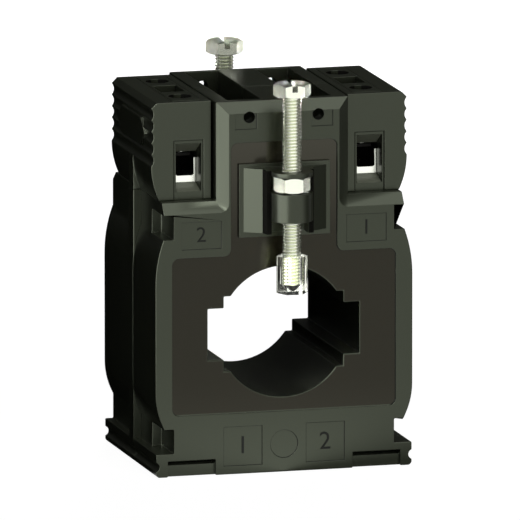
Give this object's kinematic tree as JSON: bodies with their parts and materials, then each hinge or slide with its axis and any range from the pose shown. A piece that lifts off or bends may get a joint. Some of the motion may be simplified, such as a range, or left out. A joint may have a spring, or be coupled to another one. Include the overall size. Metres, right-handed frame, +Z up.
{
  "type": "current transformer",
  "caption": "Moulded window-type current transformer with ring core, two screw terminals on its shoulders and a clamping screw at the front and back for a busbar or cable.",
  "frame": {"origin": "centre of the base's underside", "axes": "+Z up along the height, -Y towards the marked front face, +X to the right seen from the front"},
  "size_m": [0.056, 0.0628, 0.0841],
  "materials": {
    "case_plastic": "satin dark olive grey moulded plastic",
    "core_steel": "wound strip steel edge",
    "copper_winding": "enamelled copper wire",
    "lead_sleeve": "sleeved wire",
    "plated_steel": "plated steel",
    "screw_steel": "bright plated steel",
    "clear_plastic": "clear moulded plastic"
  },
  "bodies": {
    "housing": {"front_shell": "case_plastic", "rear_shell": "case_plastic", "ring_core": "core_steel", "secondary_winding": "copper_winding", "lead_left": "lead_sleeve", "lead_right": "lead_sleeve", "terminal_block_left": "case_plastic", "terminal_insert_left": "case_plastic", "terminal_channel_left": "plated_steel", "nut_bar_left": "plated_steel", "terminal_block_right": "case_plastic", "terminal_insert_right": "case_plastic", "terminal_channel_right": "plated_steel", "nut_bar_right": "plated_steel", "front_carrier": "case_plastic", "rear_carrier": "case_plastic", "front_nut": "screw_steel", "rear_nut": "screw_steel"},
    "front_cap": {"front_tip_cap": "clear_plastic"},
    "front_screw": {"front_clamp_screw": "screw_steel"},
    "rear_cap": {"rear_tip_cap": "clear_plastic"},
    "rear_screw": {"rear_clamp_screw": "screw_steel"},
    "pad_left_front": {"pressure_pad_left_front": "plated_steel"},
    "screw_left_front": {"terminal_screw_left_front": "plated_steel"},
    "pad_left_rear": {"pressure_pad_left_rear": "plated_steel"},
    "screw_left_rear": {"terminal_screw_left_rear": "plated_steel"},
    "pad_right_front": {"pressure_pad_right_front": "plated_steel"},
    "screw_right_front": {"terminal_screw_right_front": "plated_steel"},
    "pad_right_rear": {"pressure_pad_right_rear": "plated_steel"},
    "screw_right_rear": {"terminal_screw_right_rear": "plated_steel"}
  },
  "joints": [
    {"name": "front_screw_travel", "type": "slide", "parent": "housing", "child": "front_cap", "axis": [0, 0, 1], "range_m": [-0.0155, 0.007]},
    {"name": "front_screw_turn", "type": "hinge", "parent": "front_cap", "child": "front_screw", "pos_m": [0, -0.02705, 0.06], "axis": [0, 0, 1], "range_deg": [-7972, 3600]},
    {"name": "rear_screw_travel", "type": "slide", "parent": "housing", "child": "rear_cap", "axis": [0, 0, 1], "range_m": [-0.0155, 0.007]},
    {"name": "rear_screw_turn", "type": "hinge", "parent": "rear_cap", "child": "rear_screw", "pos_m": [0, 0.02705, 0.06], "axis": [0, 0, 1], "range_deg": [-7972, 3600]},
    {"name": "pad_travel_left_front", "type": "slide", "parent": "housing", "child": "pad_left_front", "axis": [0, 0, 1], "range_m": [-0.0038, 0]},
    {"name": "terminal_turn_left_front", "type": "hinge", "parent": "pad_left_front", "child": "screw_left_front", "pos_m": [-0.0197, -0.00995, 0.068], "axis": [0, 0, 1], "range_deg": [-2736, 0]},
    {"name": "pad_travel_left_rear", "type": "slide", "parent": "housing", "child": "pad_left_rear", "axis": [0, 0, 1], "range_m": [-0.0038, 0]},
    {"name": "terminal_turn_left_rear", "type": "hinge", "parent": "pad_left_rear", "child": "screw_left_rear", "pos_m": [-0.0197, 0.00845, 0.068], "axis": [0, 0, 1], "range_deg": [-2736, 0]},
    {"name": "pad_travel_right_front", "type": "slide", "parent": "housing", "child": "pad_right_front", "axis": [0, 0, 1], "range_m": [-0.0038, 0]},
    {"name": "terminal_turn_right_front", "type": "hinge", "parent": "pad_right_front", "child": "screw_right_front", "pos_m": [0.0197, -0.00995, 0.068], "axis": [0, 0, 1], "range_deg": [-2736, 0]},
    {"name": "pad_travel_right_rear", "type": "slide", "parent": "housing", "child": "pad_right_rear", "axis": [0, 0, 1], "range_m": [-0.0038, 0]},
    {"name": "terminal_turn_right_rear", "type": "hinge", "parent": "pad_right_rear", "child": "screw_right_rear", "pos_m": [0.0197, 0.00845, 0.068], "axis": [0, 0, 1], "range_deg": [-2736, 0]}
  ],
  "couplings": [
    {"joint": "front_screw_turn", "follows": "front_screw_travel", "rad_per_m": 8976},
    {"joint": "rear_screw_turn", "follows": "rear_screw_travel", "rad_per_m": 8976},
    {"joint": "terminal_turn_left_front", "follows": "pad_travel_left_front", "rad_per_m": 12566},
    {"joint": "terminal_turn_left_rear", "follows": "pad_travel_left_rear", "rad_per_m": 12566},
    {"joint": "terminal_turn_right_front", "follows": "pad_travel_right_front", "rad_per_m": 12566},
    {"joint": "terminal_turn_right_rear", "follows": "pad_travel_right_rear", "rad_per_m": 12566}
  ]
}
